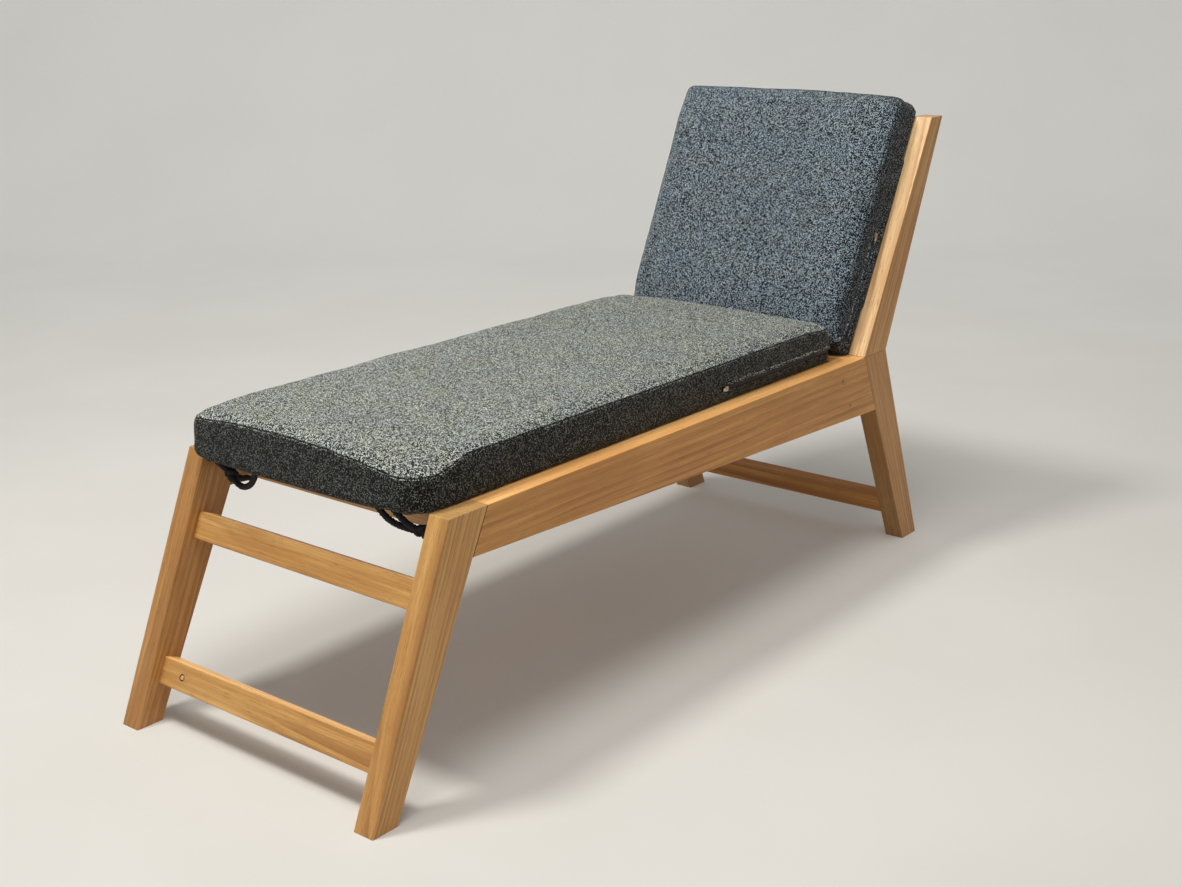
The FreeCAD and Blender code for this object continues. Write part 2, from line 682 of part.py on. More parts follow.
save("seat_tie_left", cord(left_tie_route, tie_radius))
save("seat_tie_left_loop", cord(left_loop_route, tie_radius))
save("seat_tie_left_knot", knot(left_tie_route[2], V(*left_loop_route[1]) - V(*left_tie_route[1])))
save("seat_tie_right", cord(right_tie_route, tie_radius))
save("seat_tie_right_loop", cord(right_loop_route, tie_radius))
save("seat_tie_right_knot", knot(right_tie_route[4], V(*right_tie_route[4]) - V(*right_tie_route[2])))
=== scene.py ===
"""Looks of a hardwood lounger with two loose boxed cushions in grey marl.

Metres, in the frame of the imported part: X across, Y from the foot end to the back, Z up.
Routes and places that the part's source measures from its front feet are written the same way here
and moved by BENCH.
"""

import math

import bmesh
import bpy
import numpy as np
from mathutils import Matrix, Vector
from mathutils.bvhtree import BVHTree
from mathutils.kdtree import KDTree


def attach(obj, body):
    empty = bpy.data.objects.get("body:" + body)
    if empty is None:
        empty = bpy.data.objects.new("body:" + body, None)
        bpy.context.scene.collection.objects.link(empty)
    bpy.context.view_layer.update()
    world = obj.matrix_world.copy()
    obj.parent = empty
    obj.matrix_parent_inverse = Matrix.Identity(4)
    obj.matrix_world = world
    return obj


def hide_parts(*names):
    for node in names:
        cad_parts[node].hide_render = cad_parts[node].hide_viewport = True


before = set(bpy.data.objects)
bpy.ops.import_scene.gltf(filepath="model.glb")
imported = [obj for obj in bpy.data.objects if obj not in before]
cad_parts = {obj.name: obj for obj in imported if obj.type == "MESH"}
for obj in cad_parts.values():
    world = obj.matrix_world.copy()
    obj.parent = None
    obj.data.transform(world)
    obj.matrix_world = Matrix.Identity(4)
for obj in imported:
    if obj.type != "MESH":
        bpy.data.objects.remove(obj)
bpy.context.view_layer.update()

MM = 0.001
BENCH = Vector((0, -0.8225, 0))

# Frame, as the part has it
HALF_WIDTH = 0.300
SEAT_HEIGHT = 0.438
REAR_JOINT = Vector((0, 1.366, SEAT_HEIGHT))
BACK_LEAN = math.atan2(0.2335, 0.448)
BACK_UP = Vector((0, math.sin(BACK_LEAN), math.cos(BACK_LEAN)))
BACK_FRONT = Vector((0, -math.cos(BACK_LEAN), math.sin(BACK_LEAN)))


def colour(red, green, blue):
    """A screen colour of 0 to 255 as linear values."""
    linear = []
    for value in (red, green, blue):
        share = value / 255
        linear.append(share / 12.92 if share <= 0.04045 else ((share + 0.055) / 1.055) ** 2.4)
    return (*linear, 1.0)


# Camera
PHOTO_WIDTH = 1182
FOCAL_PIXELS = 1623.54
SENSOR_WIDTH = 36.0
CAMERA_PLACE = Vector((1.85975, -2.21368, 1.23314))
CAMERA_FORWARD = Vector((-0.606383, 0.738216, -0.295527))
CAMERA_RIGHT = Vector((0.775293, 0.631458, -0.013443))


def make_camera():
    """The camera that the photo's straight edges gave."""
    data = bpy.data.cameras.new("camera")
    data.sensor_width = SENSOR_WIDTH
    data.lens = SENSOR_WIDTH * FOCAL_PIXELS / PHOTO_WIDTH
    forward = CAMERA_FORWARD.normalized()
    right = (CAMERA_RIGHT - forward * CAMERA_RIGHT.dot(forward)).normalized()
    up = right.cross(forward)
    turn = Matrix((right, up, -forward)).transposed()
    camera = bpy.data.objects.new("camera", data)
    camera.matrix_world = Matrix.Translation(CAMERA_PLACE) @ turn.to_4x4()
    bpy.context.collection.objects.link(camera)
    bpy.context.scene.camera = camera


# Shader helpers
class Shade:
    """One material and short ways to add and join its nodes."""

    def __init__(self, name, roughness=0.6):
        self.material = bpy.data.materials.new(name)
        self.material.use_nodes = True
        self.tree = self.material.node_tree
        self.tree.nodes.clear()
        output = self.tree.nodes.new("ShaderNodeOutputMaterial")
        self.shader = self.tree.nodes.new("ShaderNodeBsdfPrincipled")
        self.shader.inputs["Roughness"].default_value = roughness
        self.join(self.shader.outputs["BSDF"], output.inputs["Surface"])
        self.place = self.tree.nodes.new("ShaderNodeTexCoord").outputs["Object"]

    def join(self, source, target):
        self.tree.links.new(source, target)

    def put(self, value, target):
        if isinstance(value, bpy.types.NodeSocket):
            self.join(value, target)
        else:
            target.default_value = value

    def math(self, operation, first, second=0.0, third=0.0):
        node = self.tree.nodes.new("ShaderNodeMath")
        node.operation = operation
        for value, target in zip((first, second, third), node.inputs):
            self.put(value, target)
        return node.outputs[0]

    def vector(self, operation, first, second=(0.0, 0.0, 0.0)):
        node = self.tree.nodes.new("ShaderNodeVectorMath")
        node.operation = operation
        self.put(first, node.inputs[0])
        self.put(second, node.inputs[1])
        gives_number = operation in ("DOT_PRODUCT", "LENGTH")
        return node.outputs["Value" if gives_number else "Vector"]

    def times(self, first, second):
        return self.math("MULTIPLY", first, second)

    def plus(self, first, second):
        return self.math("ADD", first, second)

    def minus(self, first, second):
        return self.math("SUBTRACT", first, second)

    def along(self, value, direction):
        """How far a vector reaches along a fixed direction."""
        return self.vector("DOT_PRODUCT", value, tuple(direction))

    def combine(self, x, y, z):
        node = self.tree.nodes.new("ShaderNodeCombineXYZ")
        for value, target in zip((x, y, z), node.inputs):
            self.put(value, target)
        return node.outputs[0]

    def split(self, value):
        node = self.tree.nodes.new("ShaderNodeSeparateXYZ")
        self.put(value, node.inputs[0])
        return node.outputs

    def noise(self, place, scale, detail=2.0, roughness=0.5):
        node = self.tree.nodes.new("ShaderNodeTexNoise")
        node.noise_dimensions = "3D"
        self.put(place, node.inputs["Vector"])
        node.inputs["Scale"].default_value = scale
        node.inputs["Detail"].default_value = detail
        node.inputs["Roughness"].default_value = roughness
        return node.outputs["Fac"]

    def cells(self, place):
        node = self.tree.nodes.new("ShaderNodeTexWhiteNoise")
        node.noise_dimensions = "3D"
        self.put(place, node.inputs["Vector"])
        return node.outputs["Value"]

    def step(self, value, low, high, out_low=0.0, out_high=1.0):
        node = self.tree.nodes.new("ShaderNodeMapRange")
        node.interpolation_type = "SMOOTHSTEP"
        self.put(value, node.inputs["Value"])
        node.inputs["From Min"].default_value = low
        node.inputs["From Max"].default_value = high
        node.inputs["To Min"].default_value = out_low
        node.inputs["To Max"].default_value = out_high
        return node.outputs["Result"]

    def mix(self, share, first, second, blend="MIX"):
        node = self.tree.nodes.new("ShaderNodeMix")
        node.data_type = "RGBA"
        node.blend_type = blend
        self.put(share, node.inputs[0])
        self.put(first, node.inputs[6])
        self.put(second, node.inputs[7])
        return node.outputs[2]

    def bump(self, height, distance, strength=1.0, normal=None):
        node = self.tree.nodes.new("ShaderNodeBump")
        node.inputs["Strength"].default_value = strength
        node.inputs["Distance"].default_value = distance
        self.join(height, node.inputs["Height"])
        if normal:
            self.join(normal, node.inputs["Normal"])
        self.join(node.outputs["Normal"], self.shader.inputs["Normal"])

    def base(self, value):
        self.put(value, self.shader.inputs["Base Color"])

    def normal(self):
        return self.tree.nodes.new("ShaderNodeNewGeometry").outputs["Normal"]


def darkened(tint, share):
    return (*(value * share for value in tint[:3]), 1.0)


# Wood
PALE_WOOD = colour(230, 178, 110)
MID_WOOD = colour(208, 152, 86)
DARK_WOOD = colour(160, 105, 50)
PORE_WOOD = colour(120, 74, 34)
RED_WOOD = colour(194, 132, 72)
END_GRAIN = colour(168, 140, 98)
GLUE_LINE = colour(66, 38, 18)
KNOT_WOOD = colour(84, 48, 22)
PLUG_RING = colour(70, 42, 20)
# Radius of the bevel that rounds the wood's arrises, and the tint of the painted highlight along them.
EDGE_BEVEL_RADIUS = 0.0016
EDGE_HIGHLIGHT_TINT = (1.30, 1.36, 1.46, 1.0)


def wood(name, along, seed, tone=(1.0, 1.0, 1.0), pith=(0.11, 0.07), spacing=0.010,
         joints=(), pins=(), plugs=(), face=None):
    """Oiled hardwood whose grain runs along a direction.

    joints are (point, normal) planes where a hairline glue joint shows, pins are (point, radius) knots,
    plugs are (point, radius) rings, and face is (direction, tone) of painted light: the side facing that
    way takes a lighter tone, as if more light fell on it.
    """
    shade = Shade(name, 0.46)
    along = Vector(along).normalized()
    side = Vector((1, 0, 0)) if abs(along.x) < 0.5 else Vector((0, 1, 0))
    first = (side - along * side.dot(along)).normalized()
    second = along.cross(first)
    u = shade.along(shade.place, first)
    v = shade.along(shade.place, second)
    w = shade.plus(shade.along(shade.place, along), 3.7 * seed)
    slow = shade.combine(u, v, shade.times(w, 0.13))
    wander = shade.noise(slow, 8.0, 1.0, 0.4)
    ripple = shade.noise(shade.combine(u, v, shade.times(w, 0.30)), 30.0, 1.5, 0.5)
    off_u = shade.minus(u, pith[0] + 0.013 * math.sin(5 * seed))
    off_v = shade.minus(v, pith[1] + 0.017 * math.cos(3 * seed))
    radius = shade.vector("LENGTH", shade.combine(off_u, off_v, 0.0))
    radius = shade.plus(radius, shade.times(wander, 0.060))
    radius = shade.plus(radius, shade.times(ripple, 0.0035))
    uneven = shade.noise(shade.combine(radius, seed, 0.0), 48.0, 2.0, 0.6)
    radius = shade.plus(radius, shade.times(uneven, 0.020))
    ring = shade.math("FRACT", shade.math("DIVIDE", radius, spacing))
    late = shade.times(shade.step(ring, 0.30, 0.88), shade.step(ring, 1.0, 0.93))
    strength = shade.step(shade.noise(slow, 23.0, 1.0, 0.5), 0.35, 0.7, 0.18, 0.76)
    late = shade.times(late, strength)
    fibre_place = shade.combine(u, v, shade.times(w, 0.016))
    fibre = shade.noise(fibre_place, 640.0, 3.0, 0.65)
    streak = shade.noise(fibre_place, 135.0, 3.0, 0.6)
    broad = shade.noise(fibre_place, 42.0, 2.0, 0.5)
    pore_place = shade.combine(u, v, shade.times(w, 0.045))
    pores = shade.step(shade.noise(pore_place, 820.0, 1.0, 0.5), 0.64, 0.72)
    cloud = shade.noise(shade.combine(u, v, shade.times(w, 0.4)), 12.0, 2.0, 0.5)
    base = shade.mix(shade.step(streak, 0.34, 0.66), PALE_WOOD, MID_WOOD)
    base = shade.mix(shade.step(broad, 0.44, 0.68, 0.0, 0.55), base, MID_WOOD)
    base = shade.mix(shade.step(cloud, 0.42, 0.75, 0.0, 0.50), base, RED_WOOD)
    base = shade.mix(late, base, DARK_WOOD)
    base = shade.mix(shade.step(fibre, 0.40, 0.66, 0.0, 0.36), base, DARK_WOOD)
    base = shade.mix(shade.times(pores, 0.48), base, PORE_WOOD)
    end = shade.step(shade.math("ABSOLUTE", shade.along(shade.normal(), along)), 0.80, 0.93)
    base = shade.mix(shade.times(end, 0.45), base, END_GRAIN)
    # Painted highlight: the arrises are lightened where the bevel normal turns from the face, as if
    # catching light.
    rounded = shade.tree.nodes.new("ShaderNodeBevel")
    rounded.samples = 4
    rounded.inputs["Radius"].default_value = EDGE_BEVEL_RADIUS
    wear_and_edge_highlight = shade.vector("DOT_PRODUCT", rounded.outputs["Normal"], shade.normal())
    wear_and_edge_highlight = shade.step(wear_and_edge_highlight, 0.995, 0.93, 0.0, 0.75)
    base = shade.mix(wear_and_edge_highlight, base, shade.mix(1.0, base, EDGE_HIGHLIGHT_TINT, "MULTIPLY"))
    for point, normal in joints:
        gap = shade.along(shade.vector("SUBTRACT", shade.place, tuple(point)), normal)
        line = shade.step(shade.math("ABSOLUTE", gap), 0.0010, 0.0003)
        base = shade.mix(shade.times(line, 0.62), base, GLUE_LINE)
    for point, size in pins:
        away = shade.vector("LENGTH", shade.vector("SUBTRACT", shade.place, tuple(point)))
        away = shade.plus(away, shade.times(ripple, size * 0.5))
        base = shade.mix(shade.step(away, size * 3.4, size, 0.0, 0.55), base, DARK_WOOD)
        base = shade.mix(shade.step(away, size * 1.3, size * 0.6, 0.0, 0.9), base, KNOT_WOOD)
    for point, size in plugs:
        away = shade.vector("LENGTH", shade.vector("SUBTRACT", shade.place, tuple(point)))
        away = shade.math("ABSOLUTE", shade.minus(away, size))
        base = shade.mix(shade.step(away, 0.0013, 0.0004, 0.0, 0.85), base, PLUG_RING)
    base = shade.mix(1.0, base, (*tone, 1.0), "MULTIPLY")
    # Painted light: faces turned towards the face direction take a lighter tone, as if more light fell on
    # them.
    if face:
        turned = shade.along(shade.normal(), face[0])
        lit_tone = shade.mix(1.0, base, (*face[1], 1.0), "MULTIPLY")
        base = shade.mix(shade.step(turned, 0.72, 0.90), base, lit_tone)
    shade.base(base)
    rough = shade.step(fibre, 0.3, 0.7, 0.38, 0.54)
    shade.put(rough, shade.shader.inputs["Roughness"])
    shade.shader.inputs["Coat Weight"].default_value = 0.15
    shade.shader.inputs["Coat Roughness"].default_value = 0.38
    height = shade.minus(fibre, shade.times(pores, 0.6))
    shade.bump(height, 0.00022, 0.55, rounded.outputs["Normal"])
    return shade.material


def dress(node, material):
    """Gives a carried-over part its material."""
    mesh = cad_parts[node].data
    if not mesh.materials:
        mesh.materials.append(material)
    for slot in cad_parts[node].material_slots:
        slot.material = material


def timber(node, *grain, **marks):
    """Dresses a wooden piece. What follows its name is as wood() takes it."""
    dress(node, wood("wood_" + node, *grain, **marks))


PLAIN = (1.0, 1.0, 1.0)
DEEP = (1.0, 0.92, 0.76)
RAIL = (1.03, 0.92, 0.68)
GREYER = (0.90, 0.87, 0.84)
LIGHT = (1.08, 1.12, 1.24)
BRIGHT = (1.09, 1.13, 1.08)
# Painted light: tones that lighten one side of a piece where light falls on it, for the rear legs' fronts,
# the rails' tops, the posts' fronts and the front stretchers' tops.
PAINTED_LIGHT_LEG_FRONT = (1.5, 1.56, 1.6)
PAINTED_LIGHT_RAIL_TOP = (1.42, 1.68, 2.5)
PAINTED_LIGHT_POST_FRONT = (1.34, 1.67, 2.4)
PAINTED_HIGHLIGHT_STRETCHER_TOP = (1.34, 1.44, 1.6)
PALE_PLUG = (1.75, 1.95, 2.3)

# Small knots on the right rail's outer face and on the upper stretcher's top, as (place, radius)
RAIL_KNOTS = ((Vector((HALF_WIDTH, 1.2841, 0.4063)) + BENCH, 0.0028),
              (Vector((HALF_WIDTH, 1.315, 0.352)) + BENCH, 0.0020))
STRETCHER_KNOTS = ((Vector((0.214, 0.1625, 0.325)) + BENCH, 0.0022),)
# The dark ring round the plug in the lower stretcher
PLUG_RINGS = ((Vector((-0.206, -0.7635, 0.0888)), 0.0054),)

# Rails and stretchers that run across, in the order of their grain, with their tones
CROSS_MEMBERS = (("front_upper_stretcher", BRIGHT), ("front_lower_stretcher", BRIGHT),
                 ("rear_stretcher", DEEP), ("front_cross_rail", PLAIN), ("rear_cross_rail", PLAIN),
                 ("back_bottom_rail", PLAIN), ("back_top_rail", PLAIN))


def dress_wood():
    """Gives each wooden piece grain of its own. Directions are the edges' runs in the part's source."""
    across = (1, 0, 0)
    lengthways = (0, 1, 0)
    front_leg = Vector((0, 198.5, 438)).normalized()
    rear_leg = Vector((0, -177.0, 438)).normalized()
    post = Vector((0, 214.0, 448)).normalized()
    front_joint = Vector((0, 265.5, 438)) * MM + BENCH
    front_normal = Vector((0, 438, -214.5)).normalized()
    rear_joint = REAR_JOINT + BENCH
    rear_normal = Vector((0, 438, 190.5)).normalized()
    butt = (rear_joint, (0, 0, 1))
    # The face tones below paint light on the rear legs' fronts, the rails' tops and the posts' fronts.
    for side, sign, seed in (("right", 1, 1), ("left", -1, 2)):
        leg_tone = BRIGHT if sign > 0 else GREYER
        timber("front_leg_" + side, front_leg, seed * 1.3, leg_tone, (0.13 * sign, 0.09), 0.012,
               [(front_joint, front_normal)])
        timber("rear_leg_" + side, rear_leg, seed * 2.1, PLAIN, (0.10 * sign, -0.12), 0.011,
               [(rear_joint, rear_normal), butt],
               face=(rear_leg.cross(Vector((-1, 0, 0))), PAINTED_LIGHT_LEG_FRONT))
        timber("side_rail_" + side, lengthways, seed * 1.7, RAIL, (0.21 * sign, 0.40), 0.016,
               [(front_joint, front_normal), (rear_joint, rear_normal)],
               RAIL_KNOTS if sign > 0 else (), face=((0, 0, 1), PAINTED_LIGHT_RAIL_TOP))
        timber("back_post_" + side, post, seed * 2.9, LIGHT, (0.12 * sign, 0.10), 0.012, [butt],
               face=(BACK_FRONT, PAINTED_LIGHT_POST_FRONT))
        timber("seat_ledger_" + side, lengthways, seed * 3.3, DEEP)
    # The front stretchers' tops get a painted highlight through their face tone.
    for number, (name, tone) in enumerate(CROSS_MEMBERS):
        timber(name, across, 4.1 + 1.37 * number, tone, (0.14, 0.16), 0.013,
               pins=STRETCHER_KNOTS if name == "front_upper_stretcher" else (),
               plugs=PLUG_RINGS if name == "front_lower_stretcher" else (),
               face=(front_leg, PAINTED_HIGHLIGHT_STRETCHER_TOP) if name.startswith("front_") else None)
    for number in range(1, 11):
        timber("seat_slat_" + str(number), across, 7.3 + number, PLAIN, (0.05 + 0.01 * number, 0.12))
    for number in range(1, 7):
        timber("back_slat_" + str(number), BACK_UP, 20.3 + number, PLAIN, (0.08 + 0.012 * number, 0.10))
    timber("post_dowels", (0, 0, 1), 31.0)
    timber("stretcher_plug", (0, 438, -182.5), 33.0, PALE_PLUG)


# Metal and foam
def plain_metal(name, tint, roughness, scratch):
    shade = Shade(name, roughness)
    shade.shader.inputs["Metallic"].default_value = 1.0
    wear_and_edge_highlight = shade.noise(shade.place, scratch, 3.0, 0.6)
    shade.base(shade.mix(shade.step(wear_and_edge_highlight, 0.35, 0.7), tint, darkened(tint, 0.72)))
    uneven = shade.step(wear_and_edge_highlight, 0.3, 0.7, roughness - 0.08, roughness + 0.12)
    shade.put(uneven, shade.shader.inputs["Roughness"])
    shade.bump(wear_and_edge_highlight, 0.00006, 0.4)
    return shade.material


def moulded(name, tint, scale):
    """Matt nylon or foam with a fine cell."""
    shade = Shade(name, 0.8)
    cell = shade.noise(shade.place, scale, 3.0, 0.7)
    shade.base(shade.mix(shade.step(cell, 0.35, 0.65), darkened(tint, 0.66), tint))
    shade.bump(cell, 0.0003, 0.5)
    return shade.material


def toothed(name, tint, direction, pitch):
    """A zip's row of teeth or its ribbed tape: fine bars square to its run."""
    shade = Shade(name, 0.55)
    run = shade.along(shade.place, direction)
    bar = shade.math("PINGPONG", shade.math("DIVIDE", run, pitch), 0.5)
    bar = shade.step(bar, 0.10, 0.32)
    shade.base(shade.mix(bar, darkened(tint, 0.35), tint))
    shade.bump(bar, 0.0006, 0.9)
    return shade.material


# Marl
# Yarn cells in a metre, and the angle in radians that the weave turns through in a metre
YARN_CELLS = 640.0
WEAVE_RUN = 3600.0


def marl(name, cloth, wall_shade):
    """A fine salt-and-pepper weave. The last argument is painted shade: it darkens the fabric where it
    turns away from the crown, as if less light fell there.
    """
    dark, middle, light, tint_a, tint_b, level, crown = cloth
    shade = Shade(name, 0.92)
    shade.shader.inputs["Specular IOR Level"].default_value = 0.22
    shade.shader.inputs["Sheen Weight"].default_value = 0.12
    shade.shader.inputs["Sheen Roughness"].default_value = 0.5
    warp = Vector((1, 0, 0))
    crown = Vector(crown).normalized()
    weft = crown.cross(warp)
    frame_place = shade.combine(*(shade.along(shade.place, way) for way in (warp, weft, crown)))
    waver = shade.noise(frame_place, 210.0, 1.0, 0.5)
    push = shade.combine(*(shade.times(waver, amount) for amount in (0.0010, -0.0010, 0.0008)))
    pushed = shade.vector("ADD", frame_place, push)
    fleck_long = shade.noise(shade.vector("MULTIPLY", pushed, (1.0, 0.74, 0.8)), 690.0, 1.0, 0.5)
    fleck_cross = shade.noise(shade.vector("MULTIPLY", pushed, (0.74, 1.0, 0.8)), 650.0, 1.0, 0.5)
    fleck = shade.math("MULTIPLY_ADD", shade.math("MAXIMUM", fleck_long, fleck_cross), 0.5,
                       shade.times(shade.math("MINIMUM", fleck_long, fleck_cross), 0.5))
    yarn = shade.cells(shade.vector("FLOOR", shade.vector("MULTIPLY", pushed, (YARN_CELLS,) * 3)))
    tone = shade.plus(shade.times(fleck, 0.68), shade.times(yarn, 0.32))
    # Painted shade: fabric facing away from the crown is darkened, and its flecks are shifted darker.
    wall = shade.step(shade.along(shade.normal(), crown), 0.78, 0.42)
    tone = shade.minus(tone, shade.times(wall, 0.05))
    speck = shade.step(tone, 0.485, 0.595)
    base = shade.mix(shade.step(speck, 0.05, 0.45), dark, middle)
    base = shade.mix(shade.step(speck, 0.55, 0.95), base, light)
    patch = shade.noise(frame_place, 16.0, 2.0, 0.55)
    hue = shade.mix(shade.step(patch, 0.4, 0.62), tint_a, tint_b)
    base = shade.mix(1.0, base, hue, "MULTIPLY")
    darker = shade.math("MULTIPLY_ADD", wall, wall_shade - 1.0, 1.0)
    darker = shade.times(darker, level)
    base = shade.mix(1.0, base, shade.combine(darker, darker, darker), "MULTIPLY")
    shade.base(base)
    run = shade.split(shade.vector("MULTIPLY", pushed, (WEAVE_RUN,) * 3))
    weave = shade.times(shade.math("SINE", run[0]), shade.math("SINE", run[1]))
    weave = shade.plus(weave, shade.math("SINE", run[2]))
    weave = shade.plus(shade.times(weave, 0.25), shade.times(speck, 0.9))
    shade.bump(weave, 0.0007, 0.7)
    return shade.material


# Dark, middle and light yarn, two tints of the patches, level and the way that the crown faces
SEAT_CLOTH = (colour(22, 25, 24), colour(112, 117, 114), colour(224, 231, 225),
              (1.0, 1.0, 0.93, 1.0), (0.94, 0.97, 1.0, 1.0), 0.94, (0, 0, 1))
BACK_CLOTH = (colour(18, 25, 31), colour(80, 94, 104), colour(186, 204, 216),
              (1.0, 1.0, 0.97, 1.0), (0.93, 0.97, 1.0, 1.0), 0.80, BACK_FRONT)


def thread(name, tint):
    shade = Shade(name, 0.85)
    fuzz = shade.noise(shade.place, 1400.0, 2.0, 0.6)
    shade.base(shade.mix(shade.step(fuzz, 0.35, 0.65), darkened(tint, 0.5), tint))
    shade.bump(fuzz, 0.0003, 0.8)
    return shade.material


# Mesh helpers
def new_object(name, mesh, material):
    made = bpy.data.objects.new(name, mesh)
    bpy.context.collection.objects.link(made)
    if material:
        mesh.materials.append(material)
    return made


def shade_smooth(mesh):
    mesh.polygons.foreach_set("use_smooth", [True] * len(mesh.polygons))


def mesh_from(name, points, faces, material=None, smooth=True):
    mesh = bpy.data.meshes.new(name)
    mesh.from_pydata([tuple(point) for point in points], [], faces)
    mesh.validate()
    mesh.update()
    if smooth:
        shade_smooth(mesh)
    return new_object(name, mesh, material)


def read_points(mesh):
    flat = np.empty(len(mesh.vertices) * 3)
    mesh.vertices.foreach_get("co", flat)
    return flat.reshape(-1, 3)


def write_points(mesh, points):
    mesh.vertices.foreach_set("co", np.ascontiguousarray(points, dtype=float).ravel())
    mesh.update()


def read_normals(mesh):
    flat = np.empty(len(mesh.vertices) * 3)
    mesh.vertices.foreach_get("normal", flat)
    return flat.reshape(-1, 3)


def smooth_share(values, low, high):
    share = np.clip((values - low) / (high - low), 0, 1)
    return share * share * (3 - 2 * share)


def waves(points, size, seed):
    """A smooth seeded waver between about -1 and 1 at each point."""
    draw = np.random.default_rng(seed)
    total = np.zeros(len(points))
    for _ in range(7):
        direction = draw.normal(size=3)
        direction /= np.linalg.norm(direction)
        reach = size * draw.uniform(0.6, 1.7)
        total += np.sin(points @ direction * (2 * math.pi / reach) + draw.uniform(0, 2 * math.pi))
    return total / 3.2


def run_length(points):
    steps = np.linalg.norm(np.diff(points, axis=0), axis=1)
    return np.concatenate([[0], np.cumsum(steps)])


def even_points(points, pitch, closed=False):
    """The same line with points a given distance apart."""
    points = np.asarray(points, float)
    if closed:
        points = np.vstack([points, points[:1]])
    reach = run_length(points)
    count = max(2, int(round(reach[-1] / pitch)) + 1)
    places = np.linspace(0, reach[-1], count)
    even = np.stack([np.interp(places, reach, points[:, axis]) for axis in range(3)], axis=1)
    return even[:-1] if closed else even


def unit_tangents(line, closed=False):
    if closed:
        tangents = np.roll(line, -1, axis=0) - np.roll(line, 1, axis=0)
    else:
        tangents = np.gradient(line, axis=0)
    return tangents / np.linalg.norm(tangents, axis=1)[:, None]


def carried_frames(tangents):
    """Two sideways directions at each point of a line, carried along it without twist."""
    normal = np.cross(tangents[0], (0.31, 0.17, 0.93))
    normals = []
    for tangent in tangents:
        normal = normal - tangent * normal.dot(tangent)
        normal /= np.linalg.norm(normal)
        normals.append(normal)
    normals = np.array(normals)
    return normals, np.cross(tangents, normals)


def stacked_faces(rows, size, closed=False):
    """Faces through rows of equal outlines. A stack that isn't closed gets a cap at both ends."""
    faces = []
    for row in range(rows if closed else rows - 1):
        here = row * size
        there = (row + 1) % rows * size
        for index in range(size):
            after = (index + 1) % size
            faces.append((here + index, here + after, there + after, there + index))
    if not closed:
        faces.append(tuple(range(size - 1, -1, -1)))
        faces.append(tuple(range((rows - 1) * size, rows * size)))
    return faces


def tube(name, line, radius, material, closed=False, sides=8, swell=None):
    """A round tube along a line, its section carried along without twist."""
    line = np.asarray(line, float)
    normals, across = carried_frames(unit_tangents(line, closed))
    points = []
    for index, centre in enumerate(line):
        size = radius * (swell[index] if swell is not None else 1.0)
        for angle in np.linspace(0, 2 * math.pi, sides, endpoint=False):
            outward = math.cos(angle) * normals[index] + math.sin(angle) * across[index]
            points.append(centre + size * outward)
    return mesh_from(name, points, stacked_faces(len(line), sides, closed), material)


def joined(name, pieces):
    """Joins mesh objects into the first and names it."""
    form = bmesh.new()
    for piece in pieces:
        form.from_mesh(piece.data)
    mesh = pieces[0].data
    material = mesh.materials[0] if mesh.materials else None
    form.to_mesh(mesh)
    form.free()
    for piece in pieces[1:]:
        bpy.data.objects.remove(piece, do_unlink=True)
    pieces[0].name = name
    shade_smooth(mesh)
    if material and not mesh.materials:
        mesh.materials.append(material)
    return pieces[0]


# Ties
LEFT_TIE = ((-220, 167, 440), (-212, 178, 424), (-202, 190, 407), (-202, 207, 394), (-203, 229, 391),
            (-204, 251, 394), (-204, 258, 412), (-204, 259, 440))
LEFT_LOOP = ((-203, 189, 405), (-187, 186, 397), (-168, 183, 393), (-148, 180, 399), (-128, 175, 412),
             (-110, 170, 440))
RIGHT_TIE = ((172, 163, 439), (181, 168, 422), (201, 175, 411), (222, 181, 407), (240, 187, 406),
             (244, 207, 394), (245, 229, 391), (246, 251, 394), (246, 258, 412), (246, 259, 440))
RIGHT_LOOP = ((200, 163, 445), (213, 171, 425), (226, 178, 413), (241, 186, 407))
TIE_DIAMETER = 0.010
# Left tie and its loop, right tie and its loop, as the record gives them
TIE_LENGTHS = (0.154, 0.116, 0.196, 0.062)


def spline_line(name, route):
    """Points along the smooth spline that a route's points steer."""
    data = bpy.data.curves.new(name, "CURVE")
    data.dimensions = "3D"
    data.resolution_u = 16
    spline = data.splines.new("NURBS")
    spline.points.add(len(route) - 1)
    for point, place in zip(spline.points, route):
        moved = Vector(place) * MM + BENCH
        point.co = (*moved, 1.0)
    spline.order_u = 3
    spline.use_endpoint_u = True
    holder = bpy.data.objects.new(name, data)
    bpy.context.collection.objects.link(holder)
    mesh = bpy.data.meshes.new_from_object(holder)
    line = read_points(mesh).copy()
    bpy.data.objects.remove(holder, do_unlink=True)
    bpy.data.meshes.remove(mesh)
    return line


def twisted(name, line, material, turns_per_metre=62, strands=3):
    """A tie of a few fat strands laid round each other."""
    line = even_points(line, 0.0012)
    reach = run_length(line)
    normals, across = carried_frames(unit_tangents(line))
    thick = TIE_DIAMETER / 2
    pieces = []
    for strand in range(strands):
        angle = reach * turns_per_metre * 2 * math.pi + strand * 2 * math.pi / strands
        uneven = 1 + 0.07 * np.sin(reach * 410 + 2.1 * strand) + 0.05 * np.sin(reach * 950 + strand)
        offset = thick * 0.50 * uneven
        outward = np.cos(angle)[:, None] * normals + np.sin(angle)[:, None] * across
        centre = line + offset[:, None] * outward
        pieces.append(tube(name + str(strand), centre, thick * 0.58, material, sides=8, swell=uneven))
    return joined(name, pieces), line


